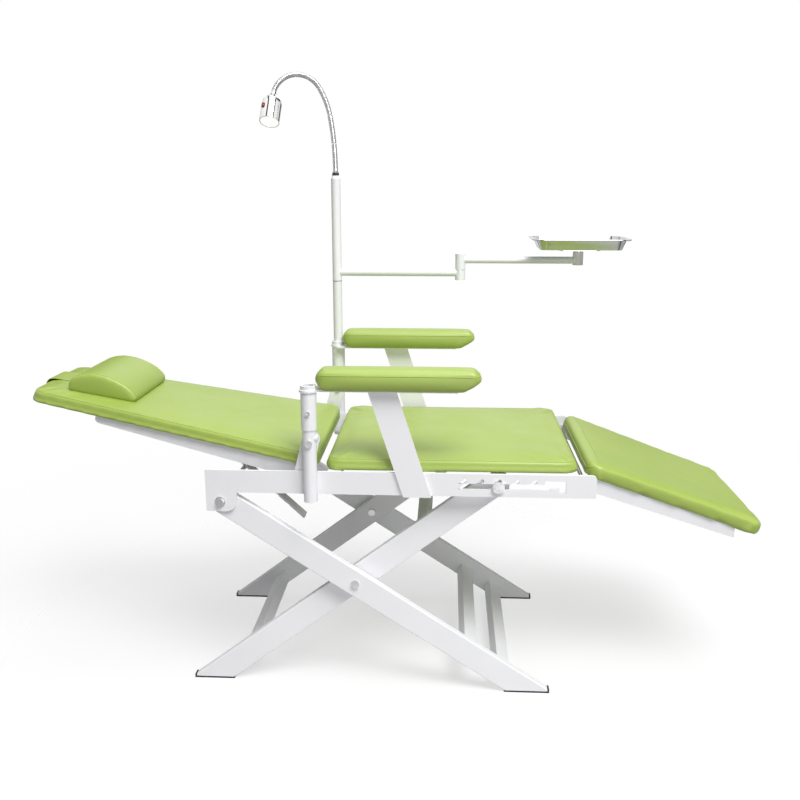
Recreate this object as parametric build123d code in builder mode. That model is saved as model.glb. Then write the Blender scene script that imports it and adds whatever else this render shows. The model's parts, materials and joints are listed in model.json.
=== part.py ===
from build123d import *
from math import atan2, cos, degrees, radians, sin
import os

os.makedirs("parts", exist_ok=True)

# Portable folding dental chair, in millimetres.
# +X runs to the foot end, +Z is up, and the lamp and tray stand on the +Y side.
# Everything is built about the chair's own middle plane, y = 0. Each sub-part is then saved
# with the origin on the floor, under the middle of the overall length and width, tray included.

# ---------------------------------------------------------------- driving sizes

# Seat rails: two steel plates on edge.
RAIL_TOP = 563.5
RAIL_HEIGHT = 55.0
RAIL_THICKNESS = 6.0
RAIL_INNER = 265.6
RAIL_HEAD_X = -424.5
RAIL_FOOT_X = 486.5
RAIL_BOTTOM = RAIL_TOP - RAIL_HEIGHT
RAIL_OUTER = RAIL_INNER + RAIL_THICKNESS
LUG_FOOT_X = -351.0
LUG_BOTTOM = 461.5
RAIL_CORNER = 10.0
LUG_CORNER = 26.0

# Scissor legs: rectangular steel tube, the outer pair just inside the rails.
TUBE_WIDTH = 62.0
TUBE_DEPTH = 20.0
TUBE_WALL = 1.5
TUBE_ROUNDING = 2.5
OUTER_LEG_OUT = 264.6
LEG_GAP = 7.6
OUTER_LEG_IN = OUTER_LEG_OUT - TUBE_DEPTH
INNER_LEG_OUT = OUTER_LEG_IN - LEG_GAP
INNER_LEG_IN = INNER_LEG_OUT - TUBE_DEPTH

LUG_PIVOT = Vector(-390.6, 0, 485.5)
SCISSOR_PIVOT = Vector(-74.0, 0, 278.8)
SLOT_PIN = Vector(262.0, 0, 532.8)
LUG_ROD_RADIUS = 6.0
SCISSOR_BOLT_RADIUS = 5.0
SLOT_PIN_RADIUS = 3.5
RUNNING_FIT = 0.05

FOOT_PAD = 4.5
FOOT_TIP = 5.0

# Posts: short tubes on the rails that carry the back, the armrests and the pole.
POST_X = -172.5
POST_Y = RAIL_OUTER + 16.0
POST_RADIUS = 16.0
POST_BORE = 13.0
POST_BOTTOM = 497.0
POST_TOP = 750.0
HINGE_Z = 639.0
HINGE_BOLT_RADIUS = 5.0

# Cushions: a tapered panel each, on a plywood board.
SEAT_HEAD_X = -144.0
SEAT_FOOT_X = 449.0
SEAT_HALF = 262.0
SEAT_THICKNESS = 30.0
PANEL_THICKNESS = 33.5
PANEL_CORNER = 34.0
PANEL_EDGE = 9.0
BOARD_THICKNESS = 9.0
BOARD_INSET = 12.0

BACK_ANGLE = 10.17
BACK_FOOT = Vector(-167.0, 0, 563.0)
BACK_LENGTH = 734.0
BACK_OVERHANG = 6.0
BACK_HALF_FOOT = 248.5
BACK_HALF_HEAD = 152.0
BACK_BAR_LENGTH = 560.0
BACK_BAR_DEEP = 36.0
BACK_BAR_SHALLOW = 17.0

LEGREST_ANGLE = 20.0
LEGREST_HEAD = Vector(460.6, 0, 552.4)
LEGREST_LENGTH = 457.0
LEGREST_HALF_HEAD = 238.5
LEGREST_HALF_FOOT = 211.0
LEGREST_PIVOT = Vector(466.0, 0, 530.0)
LEGREST_ROD_RADIUS = 5.0
LEGREST_BAR_LENGTH = 397.0
LEGREST_BAR_DEEP = 34.0
LEGREST_BAR_SHALLOW = 25.5

BAR_PLATE = 6.0
BAR_INSET = 12.0
CROSS_TUBE = 20.0

GUSSET_IN = 256.0
GUSSET_OUT = 262.0

# Prop bar that holds the back up on the lug rod.
PROP_PIVOT = Vector(-429.7, 0, 532.0)
PROP_END = Vector(-233.8, 0, 349.6)
PROP_WIDTH = 36.0
PROP_THICKNESS = 5.0

# Armrests: pad, plate, leaning bar and a sleeve over the post.
ARM_Y = 271.0
ARM_HEAD_X = -157.5
ARM_FOOT_X = 219.0
ARM_BOTTOM = 759.5
ARM_TOP = 811.0
ARM_HALF = 33.0
ARM_PLATE = 5.0
ARM_PLATE_TOP = 763.5
ARM_PLATE_FOOT_X = 165.0
ARM_PLATE_WIDTH = 40.0
SLEEVE_RADIUS = 18.0
SLEEVE_BOTTOM = 670.0
SLEEVE_TOP = 773.0
SCREW_HEAD = 4.5

# Pole, tray arms and tray.
POLE_RADIUS = 12.8
POLE_BORE = 11.3
POLE_BOTTOM = 560.0
POLE_JOINT = 945.0
POLE_TOP = 1234.0
ARM_ONE_Z = 970.0
ARM_ONE_RADIUS = 10.5
ARM_TWO_Z = 1006.0
ARM_TWO_RADIUS = 9.8
HUB_X = 174.0
HUB_RADIUS = 14.0
HUB_JOINT = 977.0
TRAY_X = 499.5
SOCKET_RADIUS = 14.3
SOCKET_BOTTOM = 993.0
SOCKET_TOP = 1030.0
TRAY_LENGTH = 265.0
TRAY_WIDTH = 180.0
TRAY_BOTTOM = 1038.0
TRAY_RIM = 1067.5
TRAY_SHEET = 1.2

# Gooseneck lamp. Angles are the neck's lean from straight up, towards the head end.
NECK_RADIUS = 7.0
NECK_BASE = 1243.0
NECK_PIECE = 76.0
NECK_ANGLES = [0, 4.5, 11, 32, 93, 158]
NECK_CUP = 0.3
LAMP_RADIUS = 27.0
LAMP_LENGTH = 97.0
LAMP_LEAN = 176.0
LAMP_TILT_TO_PATIENT = 31.0

# ---------------------------------------------------------------- planes


def side_plane(y):
    """Plane seen from the -Y side: local x is +X, local y is +Z, and it extrudes towards -Y."""
    return Plane.XZ.offset(-y)


def leg_plane(origin, towards, y):
    """Side plane with its x axis along a leg, from origin towards a point."""
    along = (towards - origin).normalized()
    return Plane(origin=(origin.X, y, origin.Z), x_dir=along, z_dir=(0, -1, 0))


def slope_top(origin, along):
    """Plane of a sloping panel's underside, with its normal upwards."""
    normal = Vector(abs(along.Z), 0, abs(along.X))
    return Plane(origin=origin, x_dir=along, z_dir=normal)


BACK_ALONG = Vector(-cos(radians(BACK_ANGLE)), 0, sin(radians(BACK_ANGLE)))
BACK_NORMAL = Vector(sin(radians(BACK_ANGLE)), 0, cos(radians(BACK_ANGLE)))
LEGREST_ALONG = Vector(cos(radians(LEGREST_ANGLE)), 0, -sin(radians(LEGREST_ANGLE)))
BACK_TOP = slope_top(BACK_FOOT, BACK_ALONG)
LEGREST_TOP = slope_top(LEGREST_HEAD, LEGREST_ALONG)
SEAT_TOP = Plane(origin=(SEAT_HEAD_X, 0, RAIL_TOP), x_dir=(1, 0, 0), z_dir=(0, 0, 1))

SIDES = {"near": -1, "far": 1}


def outer_first(side, inner, outer):
    """The larger y of a layer between two distances from the middle, for side_plane."""
    return outer if side > 0 else -inner


# The tray reaches further out than the near armrest's clamp screw, so the middle is off y = 0.
FAR_EDGE = POST_Y + TRAY_WIDTH / 2
NEAR_EDGE = -(POST_Y + SLEEVE_RADIUS + SCREW_HEAD)
TO_ORIGIN = Location((0, -(FAR_EDGE + NEAR_EDGE) / 2, 0))


def save(builder, name):
    """Label a finished sub-part, and write it at the shared origin."""
    placed = builder.part.moved(TO_ORIGIN)
    placed.label = name
    export_step(placed, f"parts/{name}.step")


# ---------------------------------------------------------------- shared shapes


def disc(x, z, radius, y_from, y_to, mode=Mode.ADD):
    """Cylinder along Y at (x, z), between two y values."""
    with BuildSketch(side_plane(max(y_from, y_to))) as section:
        with Locations((x, z)):
            Circle(radius)
    extrude(section.sketch, amount=abs(y_to - y_from), mode=mode)


def hexagon(x, z, radius, y_from, y_to):
    """Hexagonal bolt head or nut along Y."""
    with BuildSketch(side_plane(max(y_from, y_to))) as section:
        with Locations((x, z)):
            RegularPolygon(radius, 6)
    extrude(section.sketch, amount=abs(y_to - y_from))


def upright(x, y, radius, z_from, z_to, mode=Mode.ADD):
    """Cylinder along Z at (x, y), between two heights."""
    with BuildSketch(Plane.XY.offset(z_from)) as section:
        with Locations((x, y)):
            Circle(radius)
    extrude(section.sketch, amount=z_to - z_from, mode=mode)


def turned(outline, section_plane, axis):
    """Solid of revolution from (radius, distance along) points."""
    with BuildSketch(section_plane) as section:
        Polygon(*outline, align=None)
    revolve(section.sketch, axis=axis)


# ---------------------------------------------------------------- seat rails

CHANNEL_BOTTOM = 526.0
CHANNEL_TOP = 540.0
CHANNEL_HEAD_X = 168.0
CHANNEL_FOOT_X = 417.0
NOTCH_FIRST_X = 184.0
NOTCH_PITCH = 40.5
NOTCH_COUNT = 5
NOTCH_TOP = 551.0
NOTCH_RADIUS = 4.6
NOTCH_LEAN = 9.0
LOOP_HEAD_X = 368.0
LOOP_TOP = 548.5
LOOP_BOTTOM = 520.0
TONGUE_HEAD_X = 379.0
TONGUE_FOOT_X = 402.0
TONGUE_TOP = 529.5


def rail_profile():
    """Rail plate outline with the lug under its head end."""
    Polygon(
        (RAIL_HEAD_X, RAIL_TOP),
        (RAIL_FOOT_X, RAIL_TOP),
        (RAIL_FOOT_X, RAIL_BOTTOM),
        (LUG_FOOT_X, RAIL_BOTTOM),
        (LUG_FOOT_X, LUG_BOTTOM),
        (RAIL_HEAD_X, LUG_BOTTOM),
        align=None,
    )


def slot_profile():
    """Channel with hooked notches above it, and the loop that holds the pin when folded."""
    Polygon(
        (CHANNEL_HEAD_X, CHANNEL_BOTTOM),
        (CHANNEL_FOOT_X, CHANNEL_BOTTOM),
        (CHANNEL_FOOT_X, CHANNEL_TOP),
        (CHANNEL_HEAD_X + CHANNEL_TOP - CHANNEL_BOTTOM, CHANNEL_TOP),
        align=None,
    )
    for number in range(NOTCH_COUNT):
        top_x = NOTCH_FIRST_X + number * NOTCH_PITCH
        root_x = top_x - NOTCH_LEAN
        Polygon(
            (root_x - NOTCH_RADIUS - 3, CHANNEL_TOP - 1),
            (top_x - NOTCH_RADIUS, NOTCH_TOP - NOTCH_RADIUS),
            (top_x + NOTCH_RADIUS, NOTCH_TOP - NOTCH_RADIUS - 1),
            (root_x + NOTCH_RADIUS + 1, CHANNEL_TOP - 1),
            align=None,
        )
        with Locations((top_x, NOTCH_TOP - NOTCH_RADIUS)):
            Circle(NOTCH_RADIUS)
    loop_width = CHANNEL_FOOT_X - LOOP_HEAD_X
    with Locations((LOOP_HEAD_X + loop_width / 2, (LOOP_TOP + CHANNEL_BOTTOM) / 2)):
        Rectangle(loop_width, LOOP_TOP - CHANNEL_BOTTOM)
    with Locations(((TONGUE_FOOT_X + CHANNEL_FOOT_X) / 2, (LOOP_BOTTOM + CHANNEL_TOP) / 2)):
        Rectangle(CHANNEL_FOOT_X - TONGUE_FOOT_X, CHANNEL_TOP - LOOP_BOTTOM)
    tongue_width = TONGUE_FOOT_X - TONGUE_HEAD_X
    with Locations((TONGUE_HEAD_X + tongue_width / 2, (LOOP_BOTTOM + TONGUE_TOP) / 2)):
        Rectangle(tongue_width, TONGUE_TOP - LOOP_BOTTOM, mode=Mode.SUBTRACT)


for side_name, side in SIDES.items():
    with BuildPart() as rail:
        with BuildSketch(side_plane(outer_first(side, RAIL_INNER, RAIL_OUTER))):
            rail_profile()
        extrude(amount=RAIL_THICKNESS)
        foot_corners_of_rail = rail.edges().filter_by(Axis.Y).sort_by(Axis.X)[-2:]
        fillet(foot_corners_of_rail.sort_by(Axis.Z)[-1:], RAIL_CORNER)
        lug_edges = rail.edges().filter_by(Axis.Y).filter_by_position(
            Axis.X, LUG_FOOT_X - 1, LUG_FOOT_X + 1
        )
        fillet(lug_edges.sort_by(Axis.Z)[:1], LUG_CORNER)
        with BuildSketch(side_plane(outer_first(side, RAIL_INNER, RAIL_OUTER))):
            slot_profile()
        extrude(amount=RAIL_THICKNESS, mode=Mode.SUBTRACT)
        with BuildSketch(side_plane(outer_first(side, RAIL_INNER, RAIL_OUTER))):
            with Locations((LUG_PIVOT.X, LUG_PIVOT.Z)):
                Circle(LUG_ROD_RADIUS)
        extrude(amount=RAIL_THICKNESS, mode=Mode.SUBTRACT)
    save(rail, f"rail_{side_name}")

# Cross tubes that carry the seat board and tie the rails together.
SEAT_TUBE_XS = [-120.0, 100.0]
SEAT_TUBE_HEIGHT = 20.0
with BuildPart() as seat_cross_tubes:
    with BuildSketch(side_plane(RAIL_INNER)):
        with Locations([(x, RAIL_TOP - SEAT_TUBE_HEIGHT / 2) for x in SEAT_TUBE_XS]):
            Rectangle(30, SEAT_TUBE_HEIGHT)
            Rectangle(30 - 2 * TUBE_WALL, SEAT_TUBE_HEIGHT - 2 * TUBE_WALL, mode=Mode.SUBTRACT)
    extrude(amount=2 * RAIL_INNER)
save(seat_cross_tubes, "seat_cross_tubes")

def trapezium(length, half_start, half_end, inset):
    """Panel outline: starts at local x = 0, symmetric about the x axis, edges moved in by inset."""
    Polygon(
        (inset, inset - half_start),
        (length - inset, inset - half_end),
        (length - inset, half_end - inset),
        (inset, half_start - inset),
        align=None,
    )


def panel(name, plane, length, half_start, half_end, thickness):
    """Cushion with a pocket underneath, and the plywood board that fills the pocket."""
    with BuildPart() as cushion:
        with BuildSketch(plane) as outline:
            trapezium(length, half_start, half_end, 0.0)
            fillet(outline.vertices(), PANEL_CORNER)
        extrude(amount=thickness)
        top = cushion.faces().sort_by(Axis(plane.origin, plane.z_dir))[-1]
        fillet(top.edges(), PANEL_EDGE)
        with BuildSketch(plane) as pocket:
            trapezium(length, half_start, half_end, BOARD_INSET)
            fillet(pocket.vertices(), PANEL_CORNER - BOARD_INSET)
        extrude(amount=BOARD_THICKNESS, mode=Mode.SUBTRACT)
    save(cushion, f"{name}_cushion")
    with BuildPart() as board:
        with BuildSketch(plane) as sheet:
            trapezium(length, half_start, half_end, BOARD_INSET)
            fillet(sheet.vertices(), PANEL_CORNER - BOARD_INSET)
        extrude(amount=BOARD_THICKNESS)
    save(board, f"{name}_board")


def tapered_half(half_start, half_end, length, at):
    """Half-width of a tapered panel at a distance along it."""
    return half_start + (half_end - half_start) * at / length


def cross_tubes(name, plane, places):
    """Square tubes across a panel's frame. places holds (distance along, half-length)."""
    with BuildPart() as tubes:
        for along, half_length in places:
            flat = Plane(origin=plane.origin, x_dir=plane.x_dir, z_dir=(0, -1, 0))
            up = 1 if flat.y_dir.Z > 0 else -1
            start = flat.offset(-half_length)
            with BuildSketch(start):
                with Locations((along, -up * CROSS_TUBE / 2)):
                    Rectangle(CROSS_TUBE, CROSS_TUBE)
                    bore = CROSS_TUBE - 2 * TUBE_WALL
                    Rectangle(bore, bore, mode=Mode.SUBTRACT)
            extrude(amount=2 * half_length)
    save(tubes, name)


# ---------------------------------------------------------------- seat, back and leg cushions

panel("seat", SEAT_TOP, SEAT_FOOT_X - SEAT_HEAD_X, SEAT_HALF, SEAT_HALF, SEAT_THICKNESS)
panel(
    "back",
    slope_top(BACK_FOOT - BACK_ALONG * BACK_OVERHANG, BACK_ALONG),
    BACK_LENGTH + BACK_OVERHANG,
    BACK_HALF_FOOT,
    BACK_HALF_HEAD,
    PANEL_THICKNESS,
)
panel(
    "legrest", LEGREST_TOP, LEGREST_LENGTH, LEGREST_HALF_HEAD, LEGREST_HALF_FOOT, PANEL_THICKNESS
)

# Headrest pillow: flat underside, steep at the head end, drawn down to a nose at the neck.
PILLOW_NECK = 478.0
PILLOW_CROWN = 655.0
PILLOW_HALF = 126.0
PILLOW_SHIFT = 6.0
PILLOW_ROUNDING = 9.0
PILLOW_LIFT = 0.3
PILLOW_OUTLINE = [
    (8.0, 0.0),
    (0.5, 13.0),
    (12.0, 29.0),
    (47.0, 47.5),
    (87.0, 56.0),
    (124.0, 55.0),
    (152.0, 46.5),
    (172.0, 31.0),
    (176.5, 14.0),
    (169.0, 0.0),
]
back_side = Plane(origin=BACK_FOOT, x_dir=BACK_ALONG, z_dir=(0, 1, 0))
with BuildPart() as pillow:
    with BuildSketch(back_side.offset(PILLOW_SHIFT - PILLOW_HALF)):
        on_cushion = PANEL_THICKNESS + PILLOW_LIFT
        over = [(PILLOW_NECK + along, on_cushion + height) for along, height in PILLOW_OUTLINE]
        with BuildLine():
            Spline(*over)
            Line(over[-1], over[0])
        make_face()
    extrude(amount=2 * PILLOW_HALF)
    fillet(pillow.faces().filter_by(Axis.Y).edges(), PILLOW_ROUNDING)
save(pillow, "pillow")

# Strap that runs from the pillow over the head end and under the board.
STRAP_HALF = 42.0
STRAP_THICKNESS = 2.5
with BuildPart() as pillow_strap:
    with BuildSketch(back_side.offset(-STRAP_HALF)):
        inner_end = BACK_LENGTH
        outer_end = BACK_LENGTH + STRAP_THICKNESS
        under = BACK_LENGTH - 70
        Polygon(
            (PILLOW_CROWN, PANEL_THICKNESS),
            (inner_end, PANEL_THICKNESS),
            (inner_end, 0),
            (under, 0),
            (under, -STRAP_THICKNESS),
            (outer_end, -STRAP_THICKNESS),
            (outer_end, PANEL_THICKNESS + STRAP_THICKNESS),
            (PILLOW_CROWN, PANEL_THICKNESS + STRAP_THICKNESS),
            align=None,
        )
    extrude(amount=2 * STRAP_HALF)
save(pillow_strap, "pillow_strap")

# ---------------------------------------------------------------- posts and fixed pivots

with BuildPart() as posts:
    for side in SIDES.values():
        upright(POST_X, side * POST_Y, POST_RADIUS, POST_BOTTOM, POST_TOP)
        upright(POST_X, side * POST_Y, POST_BORE, POST_BOTTOM, POST_TOP, Mode.SUBTRACT)
        reach = POST_Y + POST_RADIUS
        disc(POST_X, HINGE_Z, HINGE_BOLT_RADIUS, side * GUSSET_OUT, side * reach, Mode.SUBTRACT)
save(posts, "posts")

# Domed screw cap on the foot side of each post.
CAP_Z = 650.0
CAP_RADIUS = 11.0
with BuildPart() as post_caps:
    for side in SIDES.values():
        with Locations((POST_X + POST_RADIUS - CAP_RADIUS / 2, side * POST_Y, CAP_Z)):
            Sphere(CAP_RADIUS)
        with Locations((POST_X, side * POST_Y, CAP_Z)):
            Cylinder(POST_RADIUS, 4 * CAP_RADIUS, mode=Mode.SUBTRACT)
save(post_caps, "post_caps")

# Bolts the back swings on: head outside the post, spacer between post and gusset, nut inside.
NUT_CLEARANCE = 0.2
with BuildPart() as back_hinge_bolts:
    for side in SIDES.values():
        head = POST_Y + POST_RADIUS
        disc(POST_X, HINGE_Z, HINGE_BOLT_RADIUS, side * (GUSSET_IN - 5.5), side * head)
        disc(POST_X, HINGE_Z, 8.5, side * head, side * (head + 4.5))
        disc(POST_X, HINGE_Z, 8.0, side * (GUSSET_IN - 5.5), side * (GUSSET_IN - NUT_CLEARANCE))
        disc(POST_X, HINGE_Z, 9.0, side * (GUSSET_OUT + NUT_CLEARANCE), side * RAIL_OUTER)
save(back_hinge_bolts, "back_hinge_bolts")

# Rod through both lugs: the outer legs swing on it and the prop bar rests on it.
with BuildPart() as lug_pivot_rod:
    disc(LUG_PIVOT.X, LUG_PIVOT.Z, LUG_ROD_RADIUS, -RAIL_OUTER, RAIL_OUTER)
    for side in SIDES.values():
        washer = RAIL_OUTER + 2.0
        disc(LUG_PIVOT.X, LUG_PIVOT.Z, 12.5, side * RAIL_OUTER, side * washer)
        hexagon(LUG_PIVOT.X, LUG_PIVOT.Z, 9.5, side * washer, side * (washer + 6.0))
save(lug_pivot_rod, "lug_pivot_rod")

with BuildPart() as legrest_pivot_rod:
    disc(LEGREST_PIVOT.X, LEGREST_PIVOT.Z, LEGREST_ROD_RADIUS, -RAIL_INNER, RAIL_INNER)
save(legrest_pivot_rod, "legrest_pivot_rod")

# ---------------------------------------------------------------- scissor legs

OUTER_LENGTH = (SCISSOR_PIVOT - LUG_PIVOT).length
INNER_LENGTH = (SLOT_PIN - SCISSOR_PIVOT).length
OUTER_FOOTWARDS = SCISSOR_PIVOT + (SCISSOR_PIVOT - LUG_PIVOT)
HALF_TUBE = TUBE_WIDTH / 2
INNER_HALF = HALF_TUBE - TUBE_WALL


def leg_local(plane, x, z):
    """World (x, z) in the local frame of a leg plane."""
    offset = Vector(x, 0, z) - Vector(plane.origin.X, 0, plane.origin.Z)
    return offset.dot(plane.x_dir), offset.dot(plane.y_dir)


def edge_at_height(plane, across, height):
    """Point on a leg's edge, at a distance across from its centre line, at a height."""
    along = (height - plane.origin.Z - across * plane.y_dir.Z) / plane.x_dir.Z
    return plane.origin + plane.x_dir * along + plane.y_dir * across


def foot_corners(plane):
    """Heel, toe and blunt tip of a foot that is cut level with the floor."""
    heel = edge_at_height(plane, -HALF_TUBE, FOOT_PAD)
    tip = edge_at_height(plane, HALF_TUBE, FOOT_PAD + FOOT_TIP)
    return heel, tip


def leg_tube(plane, head_outline, cavity, hole_places):
    """Leg, open at the foot. head_outline runs round the upper end from the -y edge."""
    heel, tip = foot_corners(plane)
    with BuildPart() as tube:
        with BuildSketch(plane):
            Polygon(
                *head_outline,
                leg_local(plane, tip.X, tip.Z),
                leg_local(plane, tip.X, FOOT_PAD),
                leg_local(plane, heel.X, heel.Z),
                align=None,
            )
        extrude(amount=TUBE_DEPTH)
        long_edges = tube.edges().filter_by(Axis(plane.origin, plane.x_dir))
        fillet(long_edges, TUBE_ROUNDING)
        head_end, foot_end = cavity
        with BuildSketch(plane.offset(TUBE_WALL)):
            with Locations(((head_end + foot_end) / 2, 0)):
                Rectangle(abs(foot_end - head_end), 2 * INNER_HALF)
        extrude(amount=TUBE_DEPTH - 2 * TUBE_WALL, mode=Mode.SUBTRACT)
        for along, radius in hole_places:
            with BuildSketch(plane):
                with Locations((along, 0)):
                    Circle(radius)
            extrude(amount=TUBE_DEPTH, mode=Mode.SUBTRACT)
    return tube


BEYOND_FOOT = 700.0

# The outer legs end in a rounding centred on the lug rod.
ROUND_END = [
    (-OUTER_LENGTH - HALF_TUBE * sin(radians(a)), HALF_TUBE * -cos(radians(a)))
    for a in range(0, 181, 15)
]
OUTER_CAVITY = (-OUTER_LENGTH, BEYOND_FOOT)
OUTER_HOLES = [(-OUTER_LENGTH, LUG_ROD_RADIUS + RUNNING_FIT), (0, SCISSOR_BOLT_RADIUS)]

# The inner legs' upper ends are shaved so that they fold flat under the seat.
SHAVED_END = [
    (INNER_LENGTH + 10, -HALF_TUBE),
    (INNER_LENGTH + 26, -14),
    (INNER_LENGTH + 26, 6),
    (INNER_LENGTH + 8, 21),
    (INNER_LENGTH - 50, HALF_TUBE),
]
INNER_CAVITY = (INNER_LENGTH - 52, -BEYOND_FOOT)
INNER_HOLES = [(0, SCISSOR_BOLT_RADIUS + RUNNING_FIT), (INNER_LENGTH, SLOT_PIN_RADIUS)]

for side_name, side in SIDES.items():
    outer_y = outer_first(side, OUTER_LEG_IN, OUTER_LEG_OUT)
    outer_plane = leg_plane(SCISSOR_PIVOT, OUTER_FOOTWARDS, outer_y)
    outer_leg = leg_tube(outer_plane, ROUND_END, OUTER_CAVITY, OUTER_HOLES)
    save(outer_leg, f"leg_outer_{side_name}")
    inner_y = outer_first(side, INNER_LEG_IN, INNER_LEG_OUT)
    inner_plane = leg_plane(SCISSOR_PIVOT, SLOT_PIN, inner_y)
    inner_leg = leg_tube(inner_plane, SHAVED_END, INNER_CAVITY, INNER_HOLES)
    save(inner_leg, f"leg_inner_{side_name}")


def leg_crossbars(name, towards, half_length, places):
    """Rectangular tubes between a pair of legs. places holds (along, across, width, height)."""
    with BuildPart() as bars:
        for along, across, width, height in places:
            with BuildSketch(leg_plane(SCISSOR_PIVOT, towards, half_length)):
                with Locations((along, across)):
                    Rectangle(width, height)
                    Rectangle(width - 2 * TUBE_WALL, height - 2 * TUBE_WALL, mode=Mode.SUBTRACT)
            extrude(amount=2 * half_length)
    save(bars, name)


leg_crossbars(
    "leg_outer_crossbars",
    OUTER_FOOTWARDS,
    OUTER_LEG_IN,
    [(333, -7, 36, 25), (431, -7, 36, 25)],
)
leg_crossbars(
    "leg_inner_crossbars",
    SLOT_PIN,
    INNER_LEG_IN,
    [(-341, -7, 36, 25), (204, 0, 30, 20)],
)


def foot_pads(name, towards, inner, outer):
    """Rubber soles that turn up over the blunt tips of a pair of feet."""
    heel, tip = foot_corners(leg_plane(SCISSOR_PIVOT, towards, 0))
    out = FOOT_PAD if tip.X > heel.X else -FOOT_PAD
    with BuildPart() as pads:
        for side in SIDES.values():
            with BuildSketch(side_plane(outer_first(side, inner, outer))):
                Polygon(
                    (heel.X, 0),
                    (tip.X + out, 0),
                    (tip.X + out, tip.Z),
                    (tip.X, tip.Z),
                    (tip.X, FOOT_PAD),
                    (heel.X, FOOT_PAD),
                    align=None,
                )
            extrude(amount=outer - inner)
    save(pads, name)


foot_pads("leg_outer_pads", OUTER_FOOTWARDS, OUTER_LEG_IN, OUTER_LEG_OUT)
foot_pads("leg_inner_pads", SLOT_PIN, INNER_LEG_IN, INNER_LEG_OUT)

# Scissor bolts with a thick washer between the legs and a nut inside.
with BuildPart() as scissor_bolts:
    for side in SIDES.values():
        nut_face = INNER_LEG_IN - NUT_CLEARANCE
        place = (SCISSOR_PIVOT.X, SCISSOR_PIVOT.Z)
        disc(*place, SCISSOR_BOLT_RADIUS, side * (nut_face - 7.0), side * OUTER_LEG_OUT)
        disc(*place, 10.0, side * OUTER_LEG_OUT, side * (OUTER_LEG_OUT + 5.0))
        disc(*place, 15.0, side * (INNER_LEG_OUT + NUT_CLEARANCE), side * OUTER_LEG_IN)
        disc(*place, 10.0, side * (nut_face - 7.0), side * nut_face)
save(scissor_bolts, "scissor_bolts")

# Pins that ride in the rail slots, each with a broad head outside the rail.
with BuildPart() as slot_pins:
    for side in SIDES.values():
        head_face = RAIL_OUTER + 0.6
        place = (SLOT_PIN.X, SLOT_PIN.Z)
        disc(*place, SLOT_PIN_RADIUS, side * INNER_LEG_IN, side * head_face)
        disc(*place, 14.3, side * head_face, side * (head_face + 6.5))
save(slot_pins, "slot_pins")

# ---------------------------------------------------------------- back frame


def tapered_bar(plane, side, outline, length, half_start, half_end):
    """Upright plate that follows a tapered panel's edge, cut to a side outline."""
    with BuildPart() as bar:
        wide = max(half_start, half_end) + 10
        flat = Plane(origin=plane.origin, x_dir=plane.x_dir, z_dir=(0, -1, 0)).offset(-wide)
        up = 1 if flat.y_dir.Z > 0 else -1
        with BuildSketch(flat):
            Polygon(*[(along, up * height) for along, height in outline], align=None)
        extrude(amount=2 * wide)
        hand = side * (1 if plane.y_dir.Y > 0 else -1)
        edge_end = tapered_half(half_start, half_end, length, length) - BAR_INSET
        edge_start = half_start - BAR_INSET
        with BuildSketch(plane.offset(-100)):
            Polygon(
                (0, hand * edge_start),
                (length, hand * edge_end),
                (length, hand * (edge_end - BAR_PLATE)),
                (0, hand * (edge_start - BAR_PLATE)),
                align=None,
            )
        extrude(amount=200, mode=Mode.INTERSECT)
    return bar


BACK_BAR_OUTLINE = [
    (22, 0),
    (22, -BACK_BAR_DEEP),
    (110, -BACK_BAR_DEEP),
    (BACK_BAR_LENGTH - 6, -BACK_BAR_SHALLOW),
    (BACK_BAR_LENGTH, -BACK_BAR_SHALLOW + 6),
    (BACK_BAR_LENGTH, 0),
]

for side_name, side in SIDES.items():
    back_bar = tapered_bar(
        BACK_TOP, side, BACK_BAR_OUTLINE, BACK_LENGTH, BACK_HALF_FOOT, BACK_HALF_HEAD
    )
    save(back_bar, f"back_bar_{side_name}")

BACK_TUBE_PLACES = [36.0, 253.0, 535.0]
INSIDE_BARS = BAR_INSET + BAR_PLATE


def inside_back(along):
    return tapered_half(BACK_HALF_FOOT, BACK_HALF_HEAD, BACK_LENGTH, along) - INSIDE_BARS - 2.0


cross_tubes(
    "back_cross_tubes",
    BACK_TOP,
    [(along, inside_back(along)) for along in BACK_TUBE_PLACES],
)

# Hinge gussets, each welded to a short tube that reaches out from the back bar.
GUSSET_OUTLINE = [
    (POST_X - 20.0, HINGE_Z + 4.0),
    (POST_X - 45.5, 545.0),
    (POST_X - 3.5, 541.0),
    (POST_X + 20.0, HINGE_Z),
]
GUSSET_BOSS = 20.0
OUTRIGGER_DROP = 16.0
with BuildPart() as back_gussets:
    flat = Plane(origin=BACK_FOOT, x_dir=BACK_ALONG, z_dir=(0, -1, 0))
    bar_face = inside_back(BACK_TUBE_PLACES[0]) + INSIDE_BARS + 2.0 - BAR_INSET + 1.5
    for side in SIDES.values():
        with BuildSketch(side_plane(outer_first(side, GUSSET_IN, GUSSET_OUT))):
            Polygon(*GUSSET_OUTLINE, align=None)
            with Locations((POST_X, HINGE_Z)):
                Circle(GUSSET_BOSS)
                Circle(HINGE_BOLT_RADIUS + RUNNING_FIT, mode=Mode.SUBTRACT)
        extrude(amount=GUSSET_OUT - GUSSET_IN)
        with BuildSketch(flat.offset(-outer_first(side, bar_face, GUSSET_IN))):
            with Locations((BACK_TUBE_PLACES[0], OUTRIGGER_DROP)):
                Rectangle(CROSS_TUBE, CROSS_TUBE)
        extrude(amount=GUSSET_IN - bar_face)
save(back_gussets, "back_gussets")

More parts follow.
